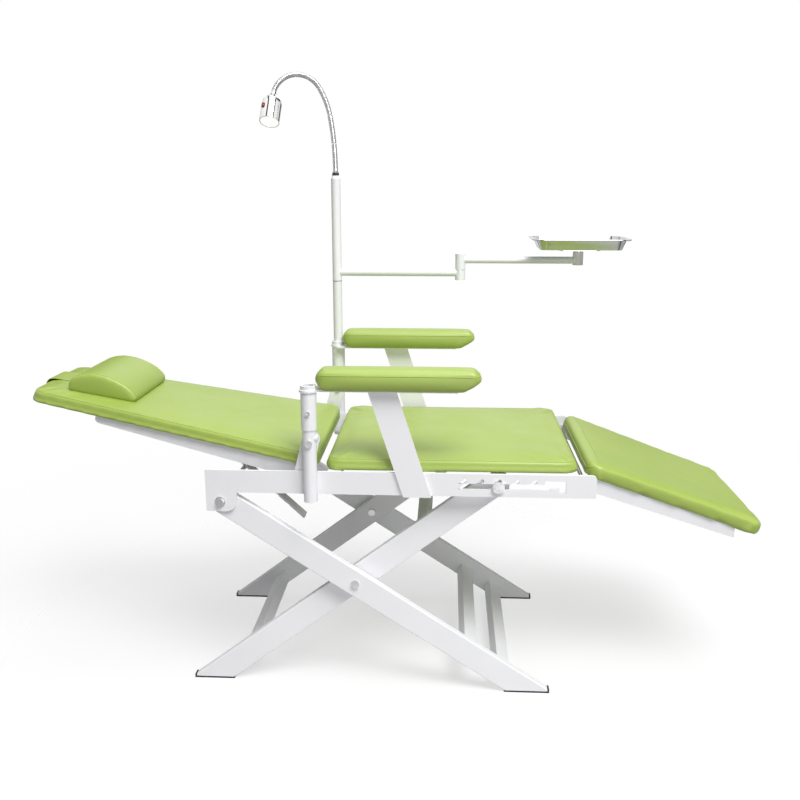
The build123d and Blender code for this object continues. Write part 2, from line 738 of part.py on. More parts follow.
# Bracket under the middle cross tube, and the pin the prop bar swings on.
PROP_PIN_RADIUS = 4.0
BRACKET_IN = PROP_WIDTH / 2 + 1.0
BRACKET_OUT = BRACKET_IN + 4.0
prop_along = (PROP_PIVOT - BACK_FOOT).dot(BACK_ALONG)
prop_down = (PROP_PIVOT - BACK_FOOT).dot(BACK_NORMAL)
with BuildPart() as prop_bracket:
    flat = Plane(origin=BACK_FOOT, x_dir=BACK_ALONG, z_dir=(0, -1, 0))
    for side in SIDES.values():
        with BuildSketch(flat.offset(-outer_first(side, BRACKET_IN, BRACKET_OUT))):
            Polygon(
                (prop_along - 22, CROSS_TUBE),
                (prop_along + 22, CROSS_TUBE),
                (prop_along + 12, -prop_down + 6),
                (prop_along - 12, -prop_down + 6),
                align=None,
            )
            with Locations((prop_along, -prop_down)):
                Circle(13)
                Circle(PROP_PIN_RADIUS, mode=Mode.SUBTRACT)
        extrude(amount=BRACKET_OUT - BRACKET_IN)
    with BuildSketch(flat.offset(-BRACKET_OUT)):
        with Locations((prop_along, CROSS_TUBE + 2)):
            Rectangle(44, 4)
    extrude(amount=2 * BRACKET_OUT)
save(prop_bracket, "prop_bracket")

with BuildPart() as prop_pin:
    disc(PROP_PIVOT.X, PROP_PIVOT.Z, PROP_PIN_RADIUS, -BRACKET_OUT, BRACKET_OUT)
    for side in SIDES.values():
        disc(PROP_PIVOT.X, PROP_PIVOT.Z, 6.5, side * BRACKET_OUT, side * (BRACKET_OUT + 3.0))
save(prop_pin, "prop_pin")

PROP_NOTCH_FIRST = 60.0
PROP_NOTCH_PITCH = 38.0
PROP_NOTCH_COUNT = 5
PROP_EYE = 8.5
PROP_NOTCH_DEPTH = 1.5
PROP_NOTCH_RADIUS = LUG_ROD_RADIUS + 3.0
with BuildPart() as prop_bar:
    prop_plane = leg_plane(PROP_PIVOT, PROP_END, PROP_WIDTH / 2)
    prop_length = (PROP_END - PROP_PIVOT).length
    with BuildSketch(prop_plane):
        with Locations((prop_length / 2, 0)):
            Rectangle(prop_length, PROP_THICKNESS)
        Circle(PROP_EYE)
        Circle(PROP_PIN_RADIUS + RUNNING_FIT, mode=Mode.SUBTRACT)
        notch_centre = PROP_NOTCH_DEPTH - PROP_THICKNESS / 2 - PROP_NOTCH_RADIUS
        for number in range(PROP_NOTCH_COUNT):
            with Locations((PROP_NOTCH_FIRST + number * PROP_NOTCH_PITCH, notch_centre)):
                Circle(PROP_NOTCH_RADIUS, mode=Mode.SUBTRACT)
    extrude(amount=PROP_WIDTH)
save(prop_bar, "prop_bar")

# ---------------------------------------------------------------- leg rest frame

LEGREST_BAR_OUTLINE = [
    (0, 0),
    (0, -LEGREST_BAR_DEEP),
    (40, -LEGREST_BAR_DEEP),
    (LEGREST_BAR_LENGTH + 5, -LEGREST_BAR_SHALLOW),
    (LEGREST_BAR_LENGTH - 4, 0),
]

with BuildPart() as legrest_bars:
    for side in SIDES.values():
        bar = tapered_bar(
            LEGREST_TOP,
            side,
            LEGREST_BAR_OUTLINE,
            LEGREST_LENGTH,
            LEGREST_HALF_HEAD,
            LEGREST_HALF_FOOT,
        )
        add(bar.part)
    hole = LEGREST_ROD_RADIUS + RUNNING_FIT
    disc(LEGREST_PIVOT.X, LEGREST_PIVOT.Z, hole, -RAIL_INNER, RAIL_INNER, Mode.SUBTRACT)
save(legrest_bars, "legrest_bars")

LEGREST_TUBE_PLACES = [60.0, 365.0]


def inside_legrest(along):
    half = tapered_half(LEGREST_HALF_HEAD, LEGREST_HALF_FOOT, LEGREST_LENGTH, along)
    return half - INSIDE_BARS - 1.0


cross_tubes(
    "legrest_cross_tubes",
    LEGREST_TOP,
    [(along, inside_legrest(along)) for along in LEGREST_TUBE_PLACES],
)

# ---------------------------------------------------------------- armrests

ARM_BAR_OUT = RAIL_OUTER + 6.4
ARM_BAR_IN = RAIL_OUTER + 0.4
ARM_BAR_WIDTH = 65.6
ARM_BAR_TOP_X = -39.7
ARM_BAR_FOOT_X = 41.3
ARM_BAR_FOOT_Z = 505.8
CLAMP_Z = 711.0
CLAMP_RADIUS = 3.0
SCREW_SOCKET = 2.5
PLATE_BOTTOM = ARM_PLATE_TOP - ARM_PLATE

# Side outline of a pad: blunt at the head end, drawn up from below at the foot end.
PAD_TIP_LOW = ARM_BOTTOM + 22.0
PAD_TIP_HIGH = ARM_TOP - 17.0
PAD_OUTLINE = [
    (ARM_HEAD_X + 19.0, ARM_BOTTOM),
    (ARM_HEAD_X, PAD_TIP_LOW),
    (ARM_HEAD_X, PAD_TIP_HIGH),
    (ARM_HEAD_X + 15.0, ARM_TOP),
    (ARM_FOOT_X - 17.0, ARM_TOP),
    (ARM_FOOT_X, PAD_TIP_HIGH),
    (ARM_FOOT_X, PAD_TIP_LOW + 3.0),
    (ARM_FOOT_X - 42.0, ARM_BOTTOM),
]
PAD_END_ROUNDING = 8.0
PAD_SIDE_ROUNDING = 14.0
PAD_PLAN_ROUNDING = 20.0

for side_name, side in SIDES.items():
    with BuildPart() as pad:
        pad_length = ARM_FOOT_X - ARM_HEAD_X
        pad_height = ARM_TOP - ARM_BOTTOM
        with BuildSketch(Plane.YZ.offset(ARM_HEAD_X)):
            with Locations((side * ARM_Y, ARM_BOTTOM + pad_height / 2)):
                RectangleRounded(2 * ARM_HALF, pad_height, PAD_SIDE_ROUNDING)
        extrude(amount=pad_length)
        with BuildSketch(side_plane(side * ARM_Y + ARM_HALF)) as pad_side:
            Polygon(*PAD_OUTLINE, align=None)
            fillet(pad_side.vertices(), PAD_END_ROUNDING)
        extrude(amount=2 * ARM_HALF, mode=Mode.INTERSECT)
        with BuildSketch(Plane.XY.offset(ARM_BOTTOM)):
            with Locations(((ARM_HEAD_X + ARM_FOOT_X) / 2, side * ARM_Y)):
                RectangleRounded(pad_length, 2 * ARM_HALF, PAD_PLAN_ROUNDING)
        extrude(amount=pad_height, mode=Mode.INTERSECT)
        with BuildSketch(Plane.XY.offset(ARM_BOTTOM)):
            with Locations(((ARM_HEAD_X + ARM_PLATE_FOOT_X) / 2, side * ARM_Y)):
                Rectangle(ARM_PLATE_FOOT_X - ARM_HEAD_X, ARM_PLATE_WIDTH)
        extrude(amount=ARM_PLATE_TOP - ARM_BOTTOM, mode=Mode.SUBTRACT)
    save(pad, f"armrest_pad_{side_name}")

    with BuildPart() as frame:
        with BuildSketch(Plane.XY.offset(SLEEVE_BOTTOM)):
            with Locations((POST_X, side * POST_Y)):
                Circle(SLEEVE_RADIUS)
        extrude(amount=SLEEVE_TOP - SLEEVE_BOTTOM)
        with BuildSketch(Plane.XY.offset(PLATE_BOTTOM)):
            with Locations((POST_X, side * POST_Y)):
                Circle(SLEEVE_RADIUS + 3)
            with Locations(((POST_X + ARM_PLATE_FOOT_X) / 2, side * ARM_Y)):
                Rectangle(ARM_PLATE_FOOT_X - POST_X, ARM_PLATE_WIDTH)
        extrude(amount=ARM_PLATE)
        with BuildSketch(side_plane(outer_first(side, ARM_BAR_IN, ARM_BAR_OUT))):
            Polygon(
                (ARM_BAR_TOP_X, PLATE_BOTTOM),
                (ARM_BAR_TOP_X + ARM_BAR_WIDTH, PLATE_BOTTOM),
                (ARM_BAR_FOOT_X + ARM_BAR_WIDTH, ARM_BAR_FOOT_Z),
                (ARM_BAR_FOOT_X, ARM_BAR_FOOT_Z),
                align=None,
            )
        extrude(amount=ARM_BAR_OUT - ARM_BAR_IN)
        with BuildSketch(Plane.XY.offset(SLEEVE_BOTTOM)):
            with Locations((POST_X, side * POST_Y)):
                Circle(POST_RADIUS + RUNNING_FIT)
        extrude(amount=POST_TOP + 0.3 - SLEEVE_BOTTOM, mode=Mode.SUBTRACT)
        with BuildSketch(Plane.XY.offset(SLEEVE_BOTTOM)):
            with Locations((POST_X, side * POST_Y)):
                Circle(POLE_RADIUS + 2 * RUNNING_FIT)
        extrude(amount=SLEEVE_TOP - SLEEVE_BOTTOM, mode=Mode.SUBTRACT)
        sleeve_face = POST_Y + SLEEVE_RADIUS
        disc(POST_X, CLAMP_Z, CLAMP_RADIUS, side * POST_Y, side * sleeve_face, Mode.SUBTRACT)
    save(frame, f"armrest_frame_{side_name}")

    with BuildPart() as screw:
        disc(POST_X, CLAMP_Z, CLAMP_RADIUS, side * (sleeve_face - 1.6), side * sleeve_face)
        disc(POST_X, CLAMP_Z, 5.5, side * sleeve_face, side * (sleeve_face + SCREW_HEAD))
        socket_outer = sleeve_face + SCREW_HEAD
        socket_plane = side_plane(outer_first(side, socket_outer - SCREW_SOCKET, socket_outer))
        with BuildSketch(socket_plane):
            with Locations((POST_X, CLAMP_Z)):
                RegularPolygon(3.0, 6)
        extrude(amount=SCREW_SOCKET, mode=Mode.SUBTRACT)
    save(screw, f"armrest_screw_{side_name}")

# ---------------------------------------------------------------- pole and tray arms

POLE_AXIS = Axis((POST_X, POST_Y, 0), (0, 0, 1))
POLE_SECTION = Plane(origin=(POST_X, POST_Y, 0), x_dir=(1, 0, 0), z_dir=(0, -1, 0))
SPIGOT_LENGTH = 60.0
WASHER_THICKNESS = 1.5


def pole_turned(outline):
    """Solid of revolution about the pole from (radius, height) points."""
    turned(outline, POLE_SECTION, POLE_AXIS)


with BuildPart() as pole_lower:
    pole_turned(
        [
            (POLE_BORE, POLE_BOTTOM),
            (POLE_RADIUS, POLE_BOTTOM),
            (POLE_RADIUS, POLE_JOINT),
            (POLE_BORE, POLE_JOINT),
        ]
    )
    bolt_reach = POST_Y + POST_RADIUS
    disc(POST_X, HINGE_Z, HINGE_BOLT_RADIUS, RAIL_OUTER, bolt_reach, Mode.SUBTRACT)
save(pole_lower, "pole_lower")

SPIGOT_RADIUS = POLE_BORE - RUNNING_FIT
BATTERY_RADIUS = 9.2
BATTERY_LENGTH = 65.0
BATTERY_BOTTOM = 1120.0
UPPER_BOTTOM = POLE_JOINT + WASHER_THICKNESS + NUT_CLEARANCE
with BuildPart() as pole_upper:
    pole_turned(
        [
            (0, POLE_JOINT - SPIGOT_LENGTH),
            (SPIGOT_RADIUS, POLE_JOINT - SPIGOT_LENGTH),
            (SPIGOT_RADIUS, UPPER_BOTTOM),
            (POLE_RADIUS, UPPER_BOTTOM),
            (POLE_RADIUS, POLE_TOP - 8),
            (POLE_RADIUS - 3, POLE_TOP),
            (0, POLE_TOP),
            (0, BATTERY_BOTTOM + BATTERY_LENGTH),
            (BATTERY_RADIUS + 0.1, BATTERY_BOTTOM + BATTERY_LENGTH),
            (BATTERY_RADIUS + 0.1, BATTERY_BOTTOM),
            (0, BATTERY_BOTTOM),
        ]
    )
save(pole_upper, "pole_upper")

with BuildPart() as lamp_battery:
    pole_turned(
        [
            (0, BATTERY_BOTTOM),
            (BATTERY_RADIUS, BATTERY_BOTTOM),
            (BATTERY_RADIUS, BATTERY_BOTTOM + BATTERY_LENGTH),
            (0, BATTERY_BOTTOM + BATTERY_LENGTH),
        ]
    )
save(lamp_battery, "lamp_battery")

with BuildPart() as pole_washer:
    pole_turned(
        [
            (POLE_BORE, POLE_JOINT),
            (POLE_RADIUS + 0.2, POLE_JOINT),
            (POLE_RADIUS + 0.2, POLE_JOINT + WASHER_THICKNESS),
            (POLE_BORE, POLE_JOINT + WASHER_THICKNESS),
        ]
    )
save(pole_washer, "pole_washer")


def arm_tube(x_from, x_to, z, radius):
    """Tray arm tube along X at the pole's depth."""
    section_plane = Plane(origin=(x_from, POST_Y, z), x_dir=(0, 1, 0), z_dir=(1, 0, 0))
    with BuildSketch(section_plane) as section:
        Circle(radius)
    extrude(section.sketch, amount=x_to - x_from)


def arm_upright(x, z_from, z_to, radius, mode=Mode.ADD):
    """Cylinder along Z at the pole's depth."""
    upright(x, POST_Y, radius, z_from, z_to, mode)


HUB_PIN_RADIUS = 6.0
HUB_BOTTOM = 950.0
HUB_TOP = 1022.7
HUB_WASHER = 2.2
with BuildPart() as tray_arm_inner:
    arm_tube(POST_X, HUB_X, ARM_ONE_Z, ARM_ONE_RADIUS)
    arm_upright(HUB_X, HUB_BOTTOM, HUB_JOINT, HUB_RADIUS)
    arm_upright(POST_X, POLE_JOINT, HUB_TOP, POLE_RADIUS, Mode.SUBTRACT)
    arm_upright(HUB_X, HUB_BOTTOM + 2, HUB_JOINT, HUB_PIN_RADIUS, Mode.SUBTRACT)
    arm_upright(HUB_X, HUB_JOINT, HUB_TOP, HUB_RADIUS + RUNNING_FIT, Mode.SUBTRACT)
save(tray_arm_inner, "tray_arm_inner")

with BuildPart() as hub_pin:
    arm_upright(HUB_X, HUB_BOTTOM + 2, HUB_TOP - 4, HUB_PIN_RADIUS)
    arm_upright(HUB_X, HUB_JOINT, HUB_JOINT + HUB_WASHER - NUT_CLEARANCE, HUB_RADIUS - 1.0)
save(hub_pin, "hub_pin")

SPIGOT_TRAY = 7.0
with BuildPart() as tray_arm_outer:
    arm_tube(HUB_X, TRAY_X, ARM_TWO_Z, ARM_TWO_RADIUS)
    arm_upright(HUB_X, HUB_JOINT + HUB_WASHER, HUB_TOP, HUB_RADIUS)
    arm_upright(TRAY_X, SOCKET_BOTTOM, SOCKET_TOP, SOCKET_RADIUS)
    arm_upright(HUB_X, HUB_JOINT, HUB_TOP - 3.7, HUB_PIN_RADIUS + RUNNING_FIT, Mode.SUBTRACT)
    arm_upright(TRAY_X, SOCKET_BOTTOM + 4, SOCKET_TOP, SPIGOT_TRAY + RUNNING_FIT, Mode.SUBTRACT)
save(tray_arm_outer, "tray_arm_outer")

with BuildPart() as tray_holder:
    arm_upright(TRAY_X, SOCKET_BOTTOM + 5, TRAY_BOTTOM - 3, SPIGOT_TRAY)
    arm_upright(TRAY_X, SOCKET_TOP + 0.3, TRAY_BOTTOM - 3, SOCKET_RADIUS - 1)
    with BuildSketch(Plane.XY.offset(TRAY_BOTTOM - 4)):
        with Locations((TRAY_X, POST_Y)):
            RectangleRounded(110, 80, 10)
    extrude(amount=4)
save(tray_holder, "tray_holder")

TRAY_CORNER = 30.0
TRAY_FLANGE = 10.0
TRAY_FLARE = 13.0
tray_depth = TRAY_RIM - TRAY_BOTTOM
flare_angle = degrees(atan2(TRAY_FLARE, tray_depth))
floor_length = TRAY_LENGTH - 2 * (TRAY_FLANGE + TRAY_FLARE)
floor_width = TRAY_WIDTH - 2 * (TRAY_FLANGE + TRAY_FLARE)
with BuildPart() as tray:
    with BuildSketch(Plane.XY.offset(TRAY_BOTTOM)):
        with Locations((TRAY_X, POST_Y)):
            RectangleRounded(floor_length, floor_width, 16)
    extrude(amount=tray_depth, taper=-flare_angle)
    with BuildSketch(Plane.XY.offset(TRAY_RIM - TRAY_SHEET)):
        with Locations((TRAY_X, POST_Y)):
            RectangleRounded(TRAY_LENGTH, TRAY_WIDTH, TRAY_CORNER)
    extrude(amount=TRAY_SHEET)
    with BuildSketch(Plane.XY.offset(TRAY_BOTTOM + TRAY_SHEET)):
        with Locations((TRAY_X, POST_Y)):
            RectangleRounded(floor_length - 1.6 * TRAY_SHEET, floor_width - 1.6 * TRAY_SHEET, 15)
    extrude(amount=tray_depth - TRAY_SHEET, taper=-flare_angle, mode=Mode.SUBTRACT)
save(tray, "tray")

# ---------------------------------------------------------------- gooseneck


def lean(angle):
    """Direction that leans from straight up towards the head end."""
    return Vector(-sin(radians(angle)), 0, cos(radians(angle)))


def neck_joints():
    """Centres of the gooseneck's bends: each piece is an arc of constant length."""
    places = [Vector(POST_X, POST_Y, NECK_BASE)]
    for start, end in zip(NECK_ANGLES, NECK_ANGLES[1:]):
        turn = radians(end - start)
        chord = NECK_PIECE * sin(turn / 2) / (turn / 2)
        places.append(places[-1] + lean((start + end) / 2) * chord)
    return places


NECK_JOINTS = neck_joints()

with BuildPart() as neck_collar:
    pole_turned(
        [
            (0, POLE_TOP + NUT_CLEARANCE),
            (9.5, POLE_TOP + NUT_CLEARANCE),
            (9.5, NECK_BASE - 4),
            (8.5, NECK_BASE),
            (0, NECK_BASE),
        ]
    )
    with Locations(NECK_JOINTS[0]):
        Sphere(NECK_RADIUS + NECK_CUP, mode=Mode.SUBTRACT)
save(neck_collar, "neck_collar")

for number, (start, end) in enumerate(zip(NECK_JOINTS, NECK_JOINTS[1:])):
    heading = lean(NECK_ANGLES[number])
    with BuildPart() as piece:
        with BuildLine():
            TangentArc(start, end, tangent=heading)
        with BuildSketch(Plane(origin=start, z_dir=heading)):
            Circle(NECK_RADIUS)
        sweep()
        with Locations(start):
            Sphere(NECK_RADIUS)
        with Locations(end):
            Sphere(NECK_RADIUS + NECK_CUP, mode=Mode.SUBTRACT)
    save(piece, f"neck_piece_{number + 1}")

# ---------------------------------------------------------------- lamp head

LAMP_AT = NECK_JOINTS[-1]
lamp_lean = lean(LAMP_LEAN)
tilt = radians(LAMP_TILT_TO_PATIENT)
LAMP_AIM = Vector(lamp_lean.X * cos(tilt), -sin(tilt), lamp_lean.Z * cos(tilt))
LAMP_LEFT = (Vector(-1, 0, 0) - LAMP_AIM * Vector(-1, 0, 0).dot(LAMP_AIM)).normalized()
LAMP_FRONT = LAMP_LEFT.cross(LAMP_AIM)
LAMP_AXIS = Axis(LAMP_AT, LAMP_AIM)
LAMP_SECTION = Plane(origin=LAMP_AT, x_dir=LAMP_LEFT, z_dir=LAMP_LEFT.cross(LAMP_AIM))
LAMP_WALL = 3.0
LAMP_FLOOR = 60.0
SWITCH_ALONG = 60.0
SWITCH_LENGTH = 16.0
SWITCH_WIDTH = 12.0
SWITCH_DEPTH = 6.0
SWITCH_PROUD = 3.0
SWITCH_TURN = radians(50.0)
SWITCH_TRAVEL = 1.4
SWITCH_GAP = 0.2
LAMP_BORE = LAMP_RADIUS - LAMP_WALL
SWITCH_SIDE = LAMP_LEFT * cos(SWITCH_TURN) + LAMP_FRONT * sin(SWITCH_TURN)


def lamp_turned(outline):
    """Solid of revolution about the lamp's axis from (radius, distance along) points."""
    turned(outline, LAMP_SECTION, LAMP_AXIS)


def switch_plane(radius):
    """Plane across the lamp's side at the switch, facing away from the axis."""
    place = LAMP_AT + LAMP_AIM * SWITCH_ALONG + SWITCH_SIDE * radius
    return Plane(origin=place, x_dir=LAMP_AIM, z_dir=SWITCH_SIDE)


with BuildPart() as lamp_housing:
    lamp_turned(
        [
            (0, 0),
            (6.5, 4),
            (8.5, 13),
            (13, 20),
            (20, 27),
            (25, 34),
            (LAMP_RADIUS, 42),
            (LAMP_RADIUS, LAMP_LENGTH),
            (LAMP_BORE, LAMP_LENGTH),
            (LAMP_BORE, LAMP_FLOOR),
            (0, LAMP_FLOOR),
        ]
    )
    with Locations(LAMP_AT):
        Sphere(NECK_RADIUS)
    with BuildSketch(switch_plane(LAMP_RADIUS - SWITCH_DEPTH)):
        SlotOverall(SWITCH_LENGTH + SWITCH_GAP, SWITCH_WIDTH + SWITCH_GAP)
    extrude(amount=2 * SWITCH_DEPTH, mode=Mode.SUBTRACT)
save(lamp_housing, "lamp_housing")

with BuildPart() as lamp_switch:
    with BuildSketch(switch_plane(LAMP_RADIUS - SWITCH_DEPTH + SWITCH_TRAVEL)):
        SlotOverall(SWITCH_LENGTH, SWITCH_WIDTH)
    extrude(amount=SWITCH_DEPTH - SWITCH_TRAVEL + SWITCH_PROUD)
    fillet(lamp_switch.faces().sort_by(Axis(LAMP_AT, SWITCH_SIDE))[-1].edges(), SWITCH_PROUD - 0.4)
save(lamp_switch, "lamp_switch")

LED_BOARD_RADIUS = LAMP_BORE - 6.0
LED_BOARD_TOP = LAMP_FLOOR + 2.0
LED_RADIUS = 3.0
with BuildPart() as lamp_led_board:
    lamp_turned(
        [
            (0, LAMP_FLOOR),
            (LED_BOARD_RADIUS, LAMP_FLOOR),
            (LED_BOARD_RADIUS, LED_BOARD_TOP),
            (LED_RADIUS, LED_BOARD_TOP),
            (LED_RADIUS, LED_BOARD_TOP + 1.5),
            (0, LED_BOARD_TOP + 1.5),
        ]
    )
save(lamp_led_board, "lamp_led_board")

LENS_FACE = LAMP_LENGTH - 3.0
LENS_THICKNESS = 2.5
with BuildPart() as lamp_lens:
    lamp_turned(
        [
            (0, LENS_FACE - LENS_THICKNESS),
            (LAMP_BORE, LENS_FACE - LENS_THICKNESS),
            (LAMP_BORE, LENS_FACE),
            (0, LENS_FACE),
        ]
    )
save(lamp_lens, "lamp_lens")
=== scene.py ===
import json
import math

import bmesh
import bpy
from mathutils import Matrix, Vector


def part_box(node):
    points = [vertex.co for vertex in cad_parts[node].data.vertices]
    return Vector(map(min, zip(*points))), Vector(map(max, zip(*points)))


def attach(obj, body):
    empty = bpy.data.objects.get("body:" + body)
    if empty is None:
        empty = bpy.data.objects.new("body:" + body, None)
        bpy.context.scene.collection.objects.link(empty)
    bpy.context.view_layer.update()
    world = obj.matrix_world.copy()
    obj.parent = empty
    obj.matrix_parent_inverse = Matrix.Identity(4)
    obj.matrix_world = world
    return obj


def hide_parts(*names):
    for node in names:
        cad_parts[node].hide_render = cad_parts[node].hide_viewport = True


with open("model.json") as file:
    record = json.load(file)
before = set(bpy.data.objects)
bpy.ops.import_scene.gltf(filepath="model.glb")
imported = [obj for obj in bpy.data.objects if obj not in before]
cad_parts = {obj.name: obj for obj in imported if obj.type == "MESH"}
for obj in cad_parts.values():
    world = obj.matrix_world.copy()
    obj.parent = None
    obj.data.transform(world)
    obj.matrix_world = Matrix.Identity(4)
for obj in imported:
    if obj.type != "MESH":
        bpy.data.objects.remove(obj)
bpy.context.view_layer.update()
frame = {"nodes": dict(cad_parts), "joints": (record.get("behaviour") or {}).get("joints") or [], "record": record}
NODES = frame["nodes"]
JOINTS = {joint["name"]: joint for joint in frame["joints"]}
SLOTS = {part["node"]: part["material_slot"] for part in frame["record"]["subparts"]}

# How far the back and the leg rest slope at rest. The back is level when turned back by it.
# Known fault: the leg rest's sign is wrong, and should be plus. Turned back by it, the leg rest
# is tilted by 40 degrees, so only its foot end is held flat and its welt rounds only its head end.
BACK_SLOPE = math.radians(10.17)
LEGREST_SLOPE = math.radians(-20.0)

# Upholstery, in metres. A swell is the farthest that fabric may move in the simulation, and
# a held height is how far up a cushion is fastened to its board or plate.
VOXEL = 0.006
RELAX_FACTOR = 0.5
RELAX_STEPS = 2
PRESSURE = 4.0
SIM_FRAMES = 20
START_SMALLER = 0.0003
PANEL_SWELL = 0.0045
ARMREST_SWELL = 0.0020
PILLOW_SWELL = 0.009
PANEL_HELD = 0.011
ARMREST_HELD = 0.004
PILLOW_HELD = 0.006
SEAM_RADIUS = 0.0011
# Sides of a seam's or rim's round section.
BEAD_SIDES = 10
SEAM_STEP = 0.005
SAME_PLACE = 1e-6
PANEL_SEAM_DROP = 0.009
ARMREST_SEAM_DROP = 0.015
PILLOW_SEAM_INSET = 0.009

# ------------------------------------------------------------------ materials

# Most of a noise pattern's values fall between these.
NOISE_RANGE = (0.3, 0.7)


def new_material(name):
    """Material with a Principled shader. Returns the material, its tree and the shader."""
    mat = bpy.data.materials.new(name)
    mat.use_nodes = True
    tree = mat.node_tree
    return mat, tree, tree.nodes["Principled BSDF"]


def coordinates(tree):
    """Coordinates fixed to the piece, in metres."""
    return tree.nodes.new("ShaderNodeTexCoord").outputs["Object"]


def noise(tree, scale, detail=3.0, roughness=0.5, stretch=None):
    """Noise pattern. stretch scales the three directions before the noise is read."""
    texture = tree.nodes.new("ShaderNodeTexNoise")
    texture.inputs["Scale"].default_value = scale
    texture.inputs["Detail"].default_value = detail
    texture.inputs["Roughness"].default_value = roughness
    source = coordinates(tree)
    if stretch:
        mapping = tree.nodes.new("ShaderNodeMapping")
        mapping.inputs["Scale"].default_value = stretch
        tree.links.new(source, mapping.inputs["Vector"])
        source = mapping.outputs["Vector"]
    tree.links.new(source, texture.inputs["Vector"])
    return texture.outputs["Fac"]


def ramp(tree, value, low, high):
    """Colour that runs from low to high over a noise pattern."""
    node = tree.nodes.new("ShaderNodeValToRGB")
    node.color_ramp.elements[0].position = NOISE_RANGE[0]
    node.color_ramp.elements[1].position = NOISE_RANGE[1]
    node.color_ramp.elements[0].color = (*low, 1.0)
    node.color_ramp.elements[1].color = (*high, 1.0)
    tree.links.new(value, node.inputs["Fac"])
    return node.outputs["Color"]


def spread(tree, value, low, high, at=NOISE_RANGE):
    """Number that runs from low to high while a value runs over the range at."""
    node = tree.nodes.new("ShaderNodeMapRange")
    node.inputs["From Min"].default_value = at[0]
    node.inputs["From Max"].default_value = at[1]
    node.inputs["To Min"].default_value = low
    node.inputs["To Max"].default_value = high
    tree.links.new(value, node.inputs["Value"])
    return node.outputs["Result"]


def bumps(tree, shader, layers):
    """Surface relief. layers holds (pattern, depth in metres, strength), finest last."""
    normal = None
    for pattern, depth, strength in layers:
        node = tree.nodes.new("ShaderNodeBump")
        node.inputs["Distance"].default_value = depth
        node.inputs["Strength"].default_value = strength
        tree.links.new(pattern, node.inputs["Height"])
        if normal is not None:
            tree.links.new(normal, node.inputs["Normal"])
        normal = node.outputs["Normal"]
    tree.links.new(normal, shader.inputs["Normal"])


def powder_coat(name, low, high):
    """White powder coat: faint orange peel, slightly uneven sheen."""
    mat, tree, shader = new_material(name)
    tree.links.new(ramp(tree, noise(tree, 5.0), low, high), shader.inputs["Base Color"])
    tree.links.new(spread(tree, noise(tree, 30.0), 0.34, 0.44), shader.inputs["Roughness"])
    peel = noise(tree, 420.0, 1.0)
    bumps(tree, shader, [(peel, 0.00025, 0.25)])
    return mat


def leatherette(name):
    """Smooth lime leatherette: fine grain, slow colour drift and soft stretch marks."""
    mat, tree, shader = new_material(name)
    drift = noise(tree, 4.0, 2.0)
    colour = ramp(tree, drift, (0.322, 0.432, 0.080), (0.346, 0.456, 0.090))
    tree.links.new(colour, shader.inputs["Base Color"])
    tree.links.new(spread(tree, noise(tree, 14.0), 0.36, 0.46), shader.inputs["Roughness"])
    shader.inputs["Coat Weight"].default_value = 0.10
    shader.inputs["Coat Roughness"].default_value = 0.35
    grain = tree.nodes.new("ShaderNodeTexVoronoi")
    grain.feature = "SMOOTH_F1"
    grain.inputs["Scale"].default_value = 620.0
    grain.inputs["Smoothness"].default_value = 0.7
    tree.links.new(coordinates(tree), grain.inputs["Vector"])
    stretch = noise(tree, 9.0, 2.0, 0.4)
    bumps(tree, shader, [(stretch, 0.0012, 0.35), (grain.outputs["Distance"], 0.00018, 0.35)])
    return mat


def plywood(name):
    """Plywood with long grain, darkened as painted shade so its edge under each cushion reads as a shadow line."""
    mat, tree, shader = new_material(name)
    grain = noise(tree, 60.0, 6.0, 0.65, stretch=(0.12, 1.0, 1.0))
    # The dark tone of this ramp is painted shade: it stands in for the shadow line along the bottom of the
    # cushions. The grain is the wood's own.
    tree.links.new(ramp(tree, grain, (0.10, 0.080, 0.055), (0.17, 0.135, 0.095)),
                   shader.inputs["Base Color"])
    shader.inputs["Roughness"].default_value = 0.62
    bumps(tree, shader, [(grain, 0.0004, 0.3)])
    return mat


def metal(name, low, high, rough_low, rough_high, pattern_scale=40.0, stretch=None):
    """Bare or plated metal with an uneven polish."""
    mat, tree, shader = new_material(name)
    shader.inputs["Metallic"].default_value = 1.0
    pattern = noise(tree, pattern_scale, 4.0, 0.6, stretch)
    tree.links.new(ramp(tree, pattern, low, high), shader.inputs["Base Color"])
    tree.links.new(spread(tree, pattern, rough_low, rough_high), shader.inputs["Roughness"])
    bumps(tree, shader, [(pattern, 0.0001, 0.15)])
    return mat


def plastic(name, low, high, roughness):
    """Moulded plastic with a faint texture."""
    mat, tree, shader = new_material(name)
    tree.links.new(ramp(tree, noise(tree, 18.0), low, high), shader.inputs["Base Color"])
    shader.inputs["Roughness"].default_value = roughness
    bumps(tree, shader, [(noise(tree, 700.0, 1.0), 0.00015, 0.25)])
    return mat


def lens(name):
    """Frosted warm lens with a faint fresnel pattern."""
    mat, tree, shader = new_material(name)
    rings = noise(tree, 260.0, 1.0)
    tree.links.new(ramp(tree, rings, (0.96, 0.94, 0.84), (1.0, 0.99, 0.93)),
                   shader.inputs["Base Color"])
    shader.inputs["Roughness"].default_value = 0.18
    shader.inputs["Emission Color"].default_value = (1.0, 0.97, 0.88, 1.0)
    shader.inputs["Emission Strength"].default_value = 0.8
    bumps(tree, shader, [(rings, 0.0004, 0.4)])
    return mat


